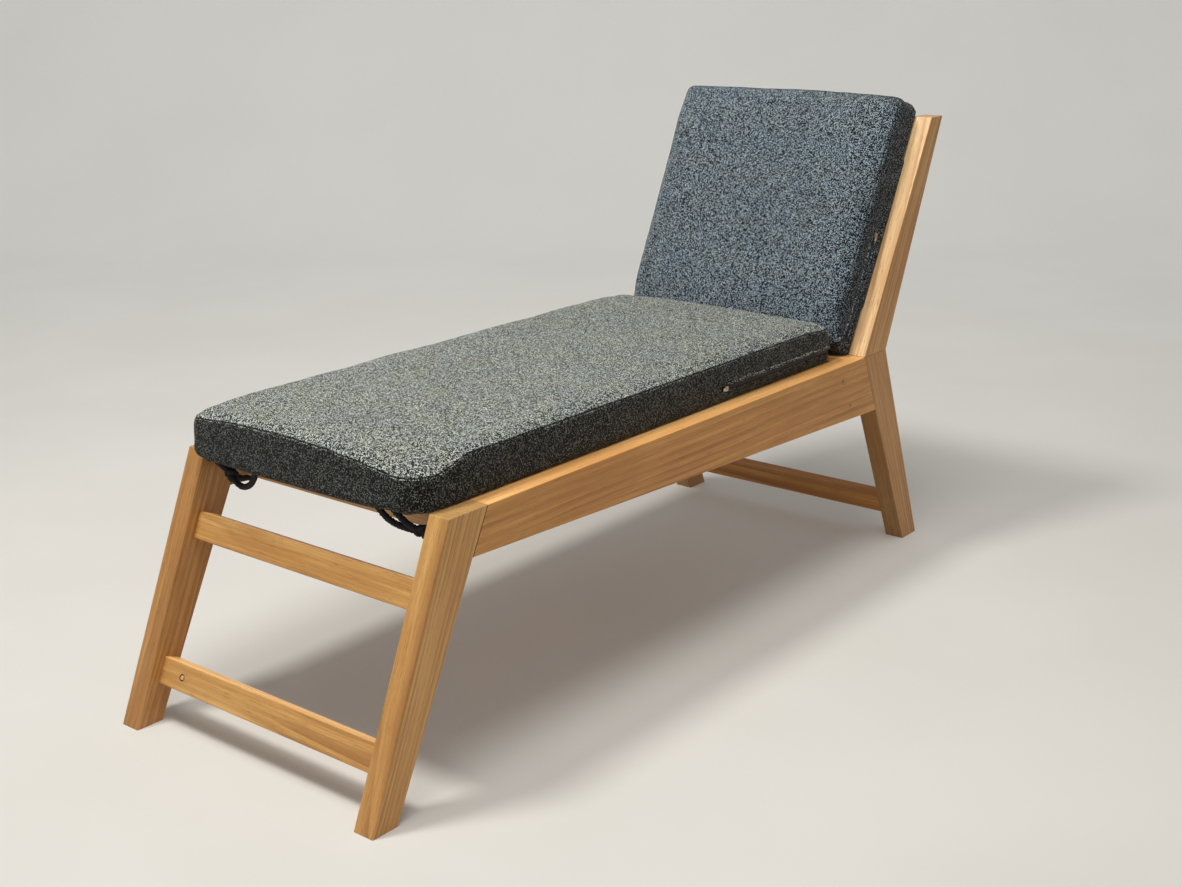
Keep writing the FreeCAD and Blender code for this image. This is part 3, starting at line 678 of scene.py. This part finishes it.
def knotted(name, route, middle, ahead, behind, material):
    """An overhand knot lying along the tie."""
    axis = Vector(route[ahead]) - Vector(route[behind])
    centre = Vector(middle) * MM + BENCH
    turn = axis.to_track_quat("Z", "Y").to_matrix()
    line = []
    steps = 96
    for step in range(steps):
        angle = 2 * math.pi * step / steps
        x = (math.sin(angle) + 2 * math.sin(2 * angle)) * 2.55
        y = (math.cos(angle) - 2 * math.cos(2 * angle)) * 2.55
        z = -math.sin(3 * angle) * 5.2
        line.append(centre + turn @ (Vector((z * 0.9, x, y * 1.12)) * MM))
    swell = [1 + 0.09 * math.sin(37 * index / steps * 2 * math.pi) for index in range(steps)]
    return tube(name, line, 0.0047, material, closed=True, sides=10, swell=swell)


def make_ties(material):
    laid = [twisted(name, spline_line(name + "_route", route), material)
            for name, route in (("tie_left", LEFT_TIE), ("tie_left_loop", LEFT_LOOP),
                                ("tie_right", RIGHT_TIE), ("tie_right_loop", RIGHT_LOOP))]
    left_knot = knotted("knot_left", LEFT_LOOP, LEFT_TIE[2], 1, 0, material)
    right_knot = knotted("knot_right", RIGHT_TIE, RIGHT_TIE[4], 4, 2, material)
    for (piece, line), length, knots in zip(laid, TIE_LENGTHS, ([left_knot], [], [right_knot], [])):
        node = "seat_" + piece.name
        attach(piece, "chair")
        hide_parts(node)
    for knot, node in ((left_knot, "seat_tie_left_knot"), (right_knot, "seat_tie_right_knot")):
        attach(knot, "chair")
        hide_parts(node)


# Cushions
class Cushion:
    """Measures of one boxed cushion in its own frame: X across, Y along, Z up from the resting face.

    Corner values run low right, high right, high left, low left.
    """

    def __init__(self, name, body, length, rings, shares, sags, corners, sag, overhang, cap, move):
        self.name = name
        self.body = body
        self.length = length
        self.rings = rings
        self.shares = shares
        self.sags = sags
        self.radii, self.spreads, self.drops = corners
        self.sag = sag
        self.overhang = overhang
        self.cap = cap
        self.move = move


CUSHION_HALF = 0.2645
# How far the long sides bow out, and how far from a corner they reach their full height
BOW = 0.0015
SHOULDER = 0.060
# How much smaller a cover starts before it is swollen, and the cap on its sideways moves
SHRINK = 0.0024
SLIDE = 0.0016
ARC_STEPS = 8
SWELL_FRAMES = 20


def outline(cushion, inset, height, share, sag_share):
    """One closed outline of a cushion as points."""
    side = CUSHION_HALF - inset
    far = cushion.length - inset
    corner_points = ((side, inset, 1, -1), (side, far, 1, 1), (-side, far, -1, 1), (-side, inset, -1, -1))
    arcs = []
    for (x, y, way_x, way_y), radius, spread, drop in zip(corner_points, cushion.radii,
                                                          cushion.spreads, cushion.drops):
        centre = Vector((x + way_x * (spread - radius), y - way_y * radius, height - drop * share))
        start = math.atan2(way_y, way_x) - math.pi / 4
        angles = [start + step * math.pi / (2 * ARC_STEPS - 2) for step in range(ARC_STEPS)]
        arcs.append([centre + Vector((math.cos(angle), math.sin(angle), 0)) * radius
                     for angle in angles])
    points = []
    for number, arc in enumerate(arcs):
        points += arc
        start = arc[-1]
        end = arcs[(number + 1) % 4][0]
        count = 24 if number in (1, 3) else 48
        outward = Vector(((1, 0, 0), (0, 1, 0), (-1, 0, 0), (0, -1, 0))[number])
        for step in range(1, count):
            way = step / count
            point = start.lerp(end, way) + outward * (BOW * 4 * way * (1 - way))
            if number in (0, 2):
                low = start.z if way < 0.5 else end.z
                from_end = min(way, 1 - way) * (end - start).length
                rise = min(1.0, from_end / SHOULDER)
                point.z = low + (height - low) * rise * rise * (3 - 2 * rise)
            else:
                chord = start.z + (end.z - start.z) * way
                point.z = chord + (height - (start.z + end.z) / 2) * 4 * way * (1 - way)
            if number == 3:
                across = abs(2 * way - 1)
                power = 2 if sag_share < 0 else 3.4
                point.z -= cushion.sag * sag_share * (1 - across ** power)
            points.append(point)
    return points


def lofted(cushion):
    """The closed cover through all its rings, a little smaller than it ends up."""
    rows = [outline(cushion, inset + SHRINK, height, share, sag_share)
            for (inset, height), share, sag_share in zip(cushion.rings, cushion.shares, cushion.sags)]
    points = [point for row in rows for point in row]
    return mesh_from(cushion.name, points, stacked_faces(len(rows), len(rows[0])))


def apply_modifiers(piece):
    bpy.context.view_layer.update()
    graph = bpy.context.evaluated_depsgraph_get()
    mesh = bpy.data.meshes.new_from_object(piece.evaluated_get(graph))
    old = piece.data
    piece.modifiers.clear()
    piece.data = mesh
    bpy.data.meshes.remove(old)


def remeshed(piece, size):
    remesh = piece.modifiers.new("remesh", "REMESH")
    remesh.mode = "VOXEL"
    remesh.voxel_size = size
    remesh.use_smooth_shade = True
    apply_modifiers(piece)


def inflated(piece, cap):
    """Lets pressure swell the cover for a few frames and keeps each point's move under a cap."""
    before = read_points(piece.data)
    cloth = piece.modifiers.new("cloth", "CLOTH")
    settings = cloth.settings
    settings.quality = 5
    settings.mass = 0.3
    settings.tension_stiffness = 15
    settings.compression_stiffness = 15
    settings.bending_stiffness = 0.6
    settings.use_pressure = True
    settings.uniform_pressure_force = 4
    settings.effector_weights.gravity = 0
    cloth.collision_settings.use_self_collision = False
    scene = bpy.context.scene
    scene.frame_start = 1
    scene.frame_end = SWELL_FRAMES
    cloth.point_cache.frame_start = 1
    cloth.point_cache.frame_end = SWELL_FRAMES
    for number in range(1, SWELL_FRAMES + 1):
        scene.frame_set(number)
    graph = bpy.context.evaluated_depsgraph_get()
    mesh = bpy.data.meshes.new_from_object(piece.evaluated_get(graph))
    moved = read_points(mesh) - before
    bpy.data.meshes.remove(mesh)
    piece.modifiers.clear()
    scene.frame_set(1)
    normals = read_normals(piece.data)
    outward = (moved * normals).sum(axis=1)
    sideways = moved - normals * outward[:, None]
    slide = np.linalg.norm(sideways, axis=1)
    sideways *= (SLIDE * np.tanh(slide / SLIDE) / np.maximum(slide, 1e-9))[:, None]
    outward = np.where(outward > 0, cap * np.tanh(outward / cap),
                       SHRINK * 0.25 * np.tanh(outward / 0.004))
    free = smooth_share(before[:, 2], 0.004, 0.030)
    outward = outward * free + SHRINK * (1 - free)
    write_points(piece.data, before + sideways * free[:, None] + normals * outward[:, None])


def settled(cushion, points):
    """Flattens the resting face on what carries it and lets the part in front of the rail hang."""
    points = points.copy()
    floor = 0.0004
    low = points[:, 2] < 0.022
    if cushion.overhang:
        carried = smooth_share(points[:, 1], cushion.overhang - 0.012, cushion.overhang)
        across = np.clip(np.abs(points[:, 0]) / 0.256, 0, 1)
        in_front = 1 - smooth_share(points[:, 1], 0.004, cushion.overhang)
        hang = -(cushion.sag + 0.0025) * (1 - across ** 3.4) * in_front
        least = floor * carried + (hang - 0.0012) * (1 - carried)
    else:
        least = np.full(len(points), floor)
    points[low, 2] = np.maximum(points[low, 2], least[low])
    bottom = points[:, 2] < least + 0.0035
    points[bottom, 2] = least[bottom]
    if not cushion.overhang:
        foot = 1 - smooth_share(points[:, 1], 0.008, 0.026)
        foot *= 1 - smooth_share(points[:, 2], 0.014, 0.046)
        points[:, 1] -= 0.007 * foot
        rest = (0.0008 - BACK_FRONT.z * points[:, 2]) / BACK_UP.z
        points[:, 1] = np.maximum(points[:, 1], rest)
    return points


def seam_line(cushion, number):
    inset, height = cushion.rings[number]
    points = outline(cushion, inset, height, cushion.shares[number], cushion.sags[number])
    return np.array([tuple(point) for point in points])


def on_surface(tree, line, sink=0.0):
    """A line laid on a surface, sunk a little below it."""
    laid = []
    for point in line:
        place, normal, _, _ = tree.find_nearest(Vector(point))
        laid.append(place - normal * sink)
    return np.array([tuple(point) for point in laid])


def surface_tree(piece):
    form = bmesh.new()
    form.from_mesh(piece.data)
    tree = BVHTree.FromBMesh(form)
    form.free()
    return tree


def lookup_of(line):
    """A search for the nearest point of a line."""
    lookup = KDTree(len(line))
    for index, point in enumerate(line):
        lookup.insert(point, index)
    lookup.balance()
    return lookup


def refine_near(piece, line, reach):
    """Splits the faces near a line once, for a crisp seam."""
    lookup = lookup_of(line)
    form = bmesh.new()
    form.from_mesh(piece.data)
    near = set()
    for vertex in form.verts:
        if lookup.find(vertex.co)[2] < reach:
            near.add(vertex)
    edges = [edge for edge in form.edges if edge.verts[0] in near and edge.verts[1] in near]
    bmesh.ops.subdivide_edges(form, edges=edges, cuts=1, use_grid_fill=True)
    form.to_mesh(piece.data)
    form.free()
    shade_smooth(piece.data)


def distance_to(points, line, limit):
    """Distance from each point to a fine line, and the index of the nearest point on it."""
    lookup = lookup_of(line)
    away = np.full(len(points), limit * 2)
    nearest = np.zeros(len(points), int)
    low = line.min(axis=0) - limit
    high = line.max(axis=0) + limit
    inside = np.where(((points > low) & (points < high)).all(axis=1))[0]
    for index in inside:
        _, number, gap = lookup.find(points[index])
        if gap < limit * 2:
            away[index] = gap
            nearest[index] = number
    return away, nearest


def sew(piece, line, depth, width, pucker, seed):
    """Pulls the cover in along a seam, with small puckers beside it."""
    points = read_points(piece.data)
    normals = read_normals(piece.data)
    reach = width * 6
    away, nearest = distance_to(points, line, reach)
    run = run_length(line)[nearest]
    groove = np.clip(1 - (away / width) ** 2, 0, 1) ** 2
    draw = np.random.default_rng(seed)
    gather = np.zeros(len(points))
    for _ in range(5):
        gather += np.sin(run * 2 * math.pi / draw.uniform(0.017, 0.060) + draw.uniform(0, 6.28))
    fade = np.clip(1 - away / reach, 0, 1)
    move = -depth * groove + pucker * gather / 3 * fade * (1 - groove)
    write_points(piece.data, points + normals * move[:, None])


def waver(piece, size, amount, seed, keep_low):
    points = read_points(piece.data)
    normals = read_normals(piece.data)
    amount = amount * smooth_share(points[:, 2], keep_low, keep_low + 0.02)
    write_points(piece.data, points + normals * (waves(points, size, seed) * amount)[:, None])


def cut_box(piece, low, high):
    """Takes a box out of a closed piece."""
    corners = [(x, y, z) for x in (low[0], high[0]) for y in (low[1], high[1]) for z in (low[2], high[2])]
    faces = ((0, 1, 3, 2), (4, 6, 7, 5), (0, 4, 5, 1), (2, 3, 7, 6), (0, 2, 6, 4), (1, 5, 7, 3))
    cutter = mesh_from("cutter", corners, faces, smooth=False)
    cut = piece.modifiers.new("cut", "BOOLEAN")
    cut.operation = "DIFFERENCE"
    cut.solver = "EXACT"
    cut.object = cutter
    apply_modifiers(piece)
    bpy.data.objects.remove(cutter, do_unlink=True)


SEAT_MOVE = Matrix.Translation(Vector((0, 0.153, SEAT_HEIGHT)) + BENCH)
BACK_FOOT = REAR_JOINT + BENCH - BACK_UP * 0.0004
BACK_TURN = Matrix((Vector((1, 0, 0)), BACK_UP, BACK_FRONT)).transposed()
BACK_MOVE = Matrix.Translation(BACK_FOOT) @ BACK_TURN.to_4x4()

# Rings of a cover as (inset, height), from the resting face to the crown
SEAT_RINGS = tuple((inset * MM, height * MM) for inset, height in (
    (10, .3), (3, 1.2), (0.5, 10), (0, 34), (1.0, 58), (2.4, 67), (3.2, 71.5), (8, 74.5), (26, 77),
    (70, 79.0), (120, 80)))
BACK_RINGS = tuple((inset * MM, height * MM) for inset, height in (
    (-2.6, .3), (-2.0, 5), (0.4, 12), (1.5, 20), (1.4, 28), (0, 42), (1.0, 52), (4.0, 62), (7.4, 68.0),
    (13, 73), (26, 77.0), (64, 81.5), (110, 82.5)))
SEAT = Cushion("seat_cushion", "chair", 1.151, SEAT_RINGS,
               (0, 0, .1, .4, .8, 1, 1, .95, .7, .3, 0), (0, 1, .8, .3, -.1, -.4, -.4, -.4, -.2, 0, 0),
               ([r * MM for r in (50, 18, 18, 20)], (0, 0, 0, 0), [d * MM for d in (16, 5, 5, 6)]),
               9 * MM, 0.061, 0.0052, SEAT_MOVE)
BACK = Cushion("back_cushion", "chair", 0.5316, BACK_RINGS,
               (0, 0, 0, .1, .2, .5, .8, 1, 1, .95, .7, .3, 0), (0,) * 13,
               ([r * MM for r in (8, 28, 14, 12)], (0, 0, 11 * MM, -5 * MM),
                [d * MM for d in (10, 8, 4, 10)]),
               1 * MM, 0, 0.0060, BACK_MOVE)


def make_cushion(cushion, fabric, seam_thread, voxel, seam_ring, seam_depth, seam_width, thread_radius):
    piece = lofted(cushion)
    remeshed(piece, voxel)
    inflated(piece, cushion.cap)
    write_points(piece.data, settled(cushion, read_points(piece.data)))
    divide = piece.modifiers.new("divide", "SUBSURF")
    divide.levels = 1
    divide.render_levels = 1
    apply_modifiers(piece)
    waver(piece, 0.19, 0.0011, 11, 0.004)
    waver(piece, 0.055, 0.0003, 12, 0.004)
    seam = even_points(seam_line(cushion, seam_ring), 0.002, closed=True)
    seam = on_surface(surface_tree(piece), seam)
    refine_near(piece, seam, 0.008)
    sew(piece, seam, seam_depth, seam_width, 0.0003, 21)
    laid = on_surface(surface_tree(piece), seam, 0.0002)
    line = tube(cushion.name + "_seam", laid, thread_radius, seam_thread, closed=True, sides=6)
    piece.data.materials.clear()
    piece.data.materials.append(fabric)
    return piece, line


# The channel that each zip lies in: where its floor is across, its middle height and half its width
ZIP_FLOOR = 0.2590
ZIP_HEIGHT = 0.024
ZIP_HALF = 0.0057

# Section of the flap over a zip: out from the wall and up from the flap's free edge
FLAP_SECTION = ((-3.0, 6.6), (-0.2, 6.2), (0.5, 5.2), (1.4, 4.2), (2.2, 2.9), (2.5, 1.4), (2.2, 0.2),
                (1.4, -0.4), (0.4, -0.2), (-0.3, 0.8), (-3.0, 1.4))


def flap(name, wall, route, fabric, thin_start, thin_end):
    """A folded edge of cover fabric lapped over a zip, following a route of (along, height) on the wall."""
    route = np.array([(0.27, along, height) for along, height in route]) * (1, MM, MM)
    route = even_points(route, 0.003)
    reach = run_length(route)
    forward = np.gradient(route, axis=0)
    forward /= np.linalg.norm(forward, axis=1)[:, None]
    points = []
    for index, place in enumerate(route):
        up = np.array((0, -forward[index][2], forward[index][1]))
        up *= 1 if up[2] + 0.3 * up[1] > 0 else -1
        along = reach[index]
        ease = min(1.0, 0.25 + along / thin_start) * min(1.0, 0.15 + (reach[-1] - along) / thin_end)
        wave = 0.0005 * math.sin(along * 96 + 1) + 0.0003 * math.sin(along * 251)
        fold = 0.0003 * math.sin(along * 133 + 2)
        for out, rise in FLAP_SECTION:
            out = out * ease if out > 0 else out
            spot = place + up * (rise * MM * (0.5 + 0.5 * ease) + wave)
            level = place + up * (max(rise, 2.0) * MM)
            struck = wall.ray_cast(Vector((0.29, level[1], level[2])), Vector((-1, 0, 0)))[0]
            face = struck.x if struck else CUSHION_HALF - 0.004
            points.append((face + out * MM + (fold if out > 0 else 0.0), spot[1], spot[2]))
    made = mesh_from(name, points, stacked_faces(len(route), len(FLAP_SECTION)), fabric)
    form = bmesh.new()
    form.from_mesh(made.data)
    bmesh.ops.recalc_face_normals(form, faces=form.faces)
    form.to_mesh(made.data)
    form.free()
    smooth = made.modifiers.new("smooth", "SUBSURF")
    smooth.levels = 1
    smooth.render_levels = 1
    apply_modifiers(made)
    return made


def wall_strip(piece, start, height, depth, flare):
    """Sets the strip of the right-hand wall below a zip back a little and flares the wall above it."""
    points = read_points(piece.data)
    right = smooth_share(points[:, 0], 0.2525, 0.2605)
    below = 1 - smooth_share(points[:, 2], height - 0.004, height + 0.001)
    above = (1 - smooth_share(points[:, 2], height, height + 0.034)) * (1 - below)
    along = smooth_share(points[:, 1], start - 0.02, start + 0.03)
    points[:, 0] += (flare * above - depth * below) * right * along
    write_points(piece.data, points)


def add_zip(cushion, piece, fabric, seam_thread, zip_range, route, thin_start, thin_end, seam_and_shadow_route):
    start, end = zip_range
    wall = surface_tree(piece)
    made = flap(cushion.name + "_zip_flap", wall, route, fabric, thin_start, thin_end)
    # A dark thread along the flap's lower edge: its seam, and a painted shadow line under the flap's
    # overhang.
    line = even_points(np.array([(0.28, along * MM, height * MM) for along, height in seam_and_shadow_route]), 0.002)
    laid = []
    for place in line:
        struck = wall.ray_cast(Vector((0.29, place[1], place[2])), Vector((-1, 0, 0)))[0]
        laid.append((struck.x + 0.0008 if struck else CUSHION_HALF, place[1], place[2]))
    dark = tube(cushion.name + "_flap_seam_and_shadow", np.array(laid), 0.0007, seam_thread, sides=6)
    cut_box(piece, (ZIP_FLOOR - 0.0004, start - 0.012, ZIP_HEIGHT - ZIP_HALF),
            (0.290, end, ZIP_HEIGHT + ZIP_HALF))
    shade_smooth(piece.data)
    return [made, dark]


def finish_cushion(cushion, pieces, node):
    """Puts a cushion's pieces in place. The first of them is the cover."""
    for piece in pieces:
        piece.data.transform(cushion.move)
        piece.data.update()
        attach(piece, cushion.body)
    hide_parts(node)


# Room
# The camera's line of sight along the floor, and the way across it
SIGHT = Vector((-0.6347, 0.7727, 0.0))
ACROSS_SIGHT = Vector((0.7727, 0.6347, 0.0))
# Where the backdrop's sweep starts, its radius, its top and how far it reaches to each side
SWEEP_START = 3.6
SWEEP_RADIUS = 1.6
BACKDROP_TOP = 6.0
BACKDROP_HALF = 16.0
WARM_LIGHT = (1.0, 0.97, 0.93)


def make_room():
    """A pale floor swept up into a backdrop. The camera sees it a little brighter than it lights."""
    shade = Shade("studio_floor", 0.85)
    grain = shade.noise(shade.place, 1.6, 3.0, 0.5)
    shade.base(shade.mix(shade.step(grain, 0.3, 0.7), colour(216, 215, 210), colour(221, 220, 216)))
    seen = shade.tree.nodes.new("ShaderNodeLightPath")
    direct = shade.math("MAXIMUM", seen.outputs["Is Camera Ray"], seen.outputs["Is Glossy Ray"])
    direct = shade.math("MAXIMUM", direct, seen.outputs["Is Transmission Ray"])
    shade.shader.inputs["Emission Color"].default_value = (0.98, 0.98, 0.95, 1.0)
    lift = shade.step(shade.along(shade.place, SIGHT), -0.6, 4.4, 0.07, 0.26)
    shade.put(shade.times(direct, lift), shade.shader.inputs["Emission Strength"])
    profile = [(-7.0, 0.0), (SWEEP_START, 0.0)]
    for step in range(1, 13):
        angle = math.radians(90 * step / 12)
        profile.append((SWEEP_START + SWEEP_RADIUS * math.sin(angle), SWEEP_RADIUS * (1 - math.cos(angle))))
    profile.append((SWEEP_START + SWEEP_RADIUS, BACKDROP_TOP))
    points = []
    for reach, height in profile:
        for side in (-BACKDROP_HALF, BACKDROP_HALF):
            points.append(SIGHT * reach + ACROSS_SIGHT * side + Vector((0, 0, height)))
    faces = [(2 * row, 2 * row + 1, 2 * row + 3, 2 * row + 2) for row in range(len(profile) - 1)]
    floor = mesh_from("studio_floor", points, faces, shade.material)


def area_light(name, place, target, size, power, tint):
    data = bpy.data.lights.new(name, "AREA")
    data.shape = "DISK"
    data.size = size
    data.energy = power
    data.color = tint
    lamp = bpy.data.objects.new(name, data)
    lamp.location = place
    lamp.rotation_euler = (Vector(target) - Vector(place)).to_track_quat("-Z", "Y").to_euler()
    bpy.context.collection.objects.link(lamp)


def make_light():
    centre = Vector((0, 0, 0.4))
    key = centre + Vector((-0.20, -0.34, 0.919)).normalized() * 3.6
    area_light("key", key, centre, 0.8, 66, (1.0, 0.97, 0.92))
    above = centre + Vector((0.20, -0.24, 0.950)).normalized() * 3.8
    area_light("above", above, centre, 1.8, 62, WARM_LIGHT)
    area_light("front", (-1.2, -3.6, 1.3), centre, 1.8, 4, WARM_LIGHT)
    world = bpy.data.worlds.new("studio")
    world.use_nodes = True
    tree = world.node_tree
    back = tree.nodes["Background"]
    back.inputs["Color"].default_value = (1.0, 0.98, 0.95, 1.0)
    back.inputs["Strength"].default_value = 0.26
    bpy.context.scene.world = world
    bpy.context.scene.view_settings.view_transform = "Standard"


# Build
make_camera()
tie_cloth = thread("tie_cotton", colour(34, 35, 38))
make_ties(tie_cloth)
dress_wood()

seam_black = thread("seam_thread", colour(20, 21, 24))
seam_blue = thread("seam_thread_blue", colour(44, 50, 57))
# The last number of each marl is painted shade on its walls. The flap copies are lit copies of the same
# cloth: the seat flap's walls are darkened less and the back flap's walls lightened, as painted light on
# the folded edges.
seat_marl = marl("seat_marl", SEAT_CLOTH, 0.29)
back_marl = marl("back_marl", BACK_CLOTH, 0.66)
seat_flap_lit = marl("seat_flap_lit_marl", SEAT_CLOTH, 0.62)
back_flap_lit = marl("back_flap_lit_marl", BACK_CLOTH, 1.25)
zip_bright = plain_metal("zip_nickel", colour(222, 208, 190), 0.32, 900)
steel = plain_metal("screw_steel", colour(176, 176, 178), 0.38, 700)
foam = moulded("cushion_foam", colour(226, 214, 178), 420)

# Each zip's start and end along its cushion
SEAT_ZIP = (0.781, 1.131)
BACK_ZIP = (0.040, 0.248)
seat, seat_seam = make_cushion(SEAT, seat_marl, seam_black, 0.006, 6, 0.0010, 0.0024, 0.0005)
back, back_seam = make_cushion(BACK, back_marl, seam_blue, 0.005, 8, 0.0005, 0.0026, 0.00035)
wall_strip(seat, SEAT_ZIP[0], 0.030, 0.0016, 0.0026)
# The last route of each zip lays the dark seam and painted shadow line under its flap.
seat_flap = add_zip(SEAT, seat, seat_flap_lit, seam_black, SEAT_ZIP,
                    ((788, 29.7), (900, 29.9), (1040, 29.7), (1110, 29.5), (1140, 28.6), (1148, 28.0)),
                    0.03, 0.004,
                    ((794, 30.0), (900, 30.1), (1040, 29.9), (1110, 29.8), (1129, 29.5), (1138, 28.6),
                     (1147, 27.8)))
back_flap = add_zip(BACK, back, back_flap_lit, seam_black, BACK_ZIP,
                    ((240, 29.7), (160, 29.7), (90, 29.7), (60, 29.9), (40, 32.0), (26, 37.5), (15, 46),
                     (7, 57), (2.5, 68)),
                    0.03, 0.01,
                    ((234, 29.0), (160, 29.0), (90, 29.0), (60, 29.2), (39, 31.2), (25, 36.6), (13.8, 45),
                     (6.0, 56), (1.6, 67)))
finish_cushion(SEAT, [seat, seat_seam] + seat_flap, "seat_cover")
finish_cushion(BACK, [back, back_seam] + back_flap, "back_cover")

for part, run in (("seat", (0, 1, 0)), ("back", BACK_UP)):
    dress(part + "_zip_tapes", toothed(part + "_tape_black", colour(38, 39, 42), run, 0.0012))
    dress(part + "_zip_teeth", toothed(part + "_teeth_black", colour(52, 53, 56), run, 0.0016))
    dress(part + "_zip_slider", zip_bright)
    dress(part + "_zip_pull", zip_bright)
    dress(part + "_core", foam)
dress("slat_screws", steel)
dress("ledger_screws", steel)

make_room()
make_light()
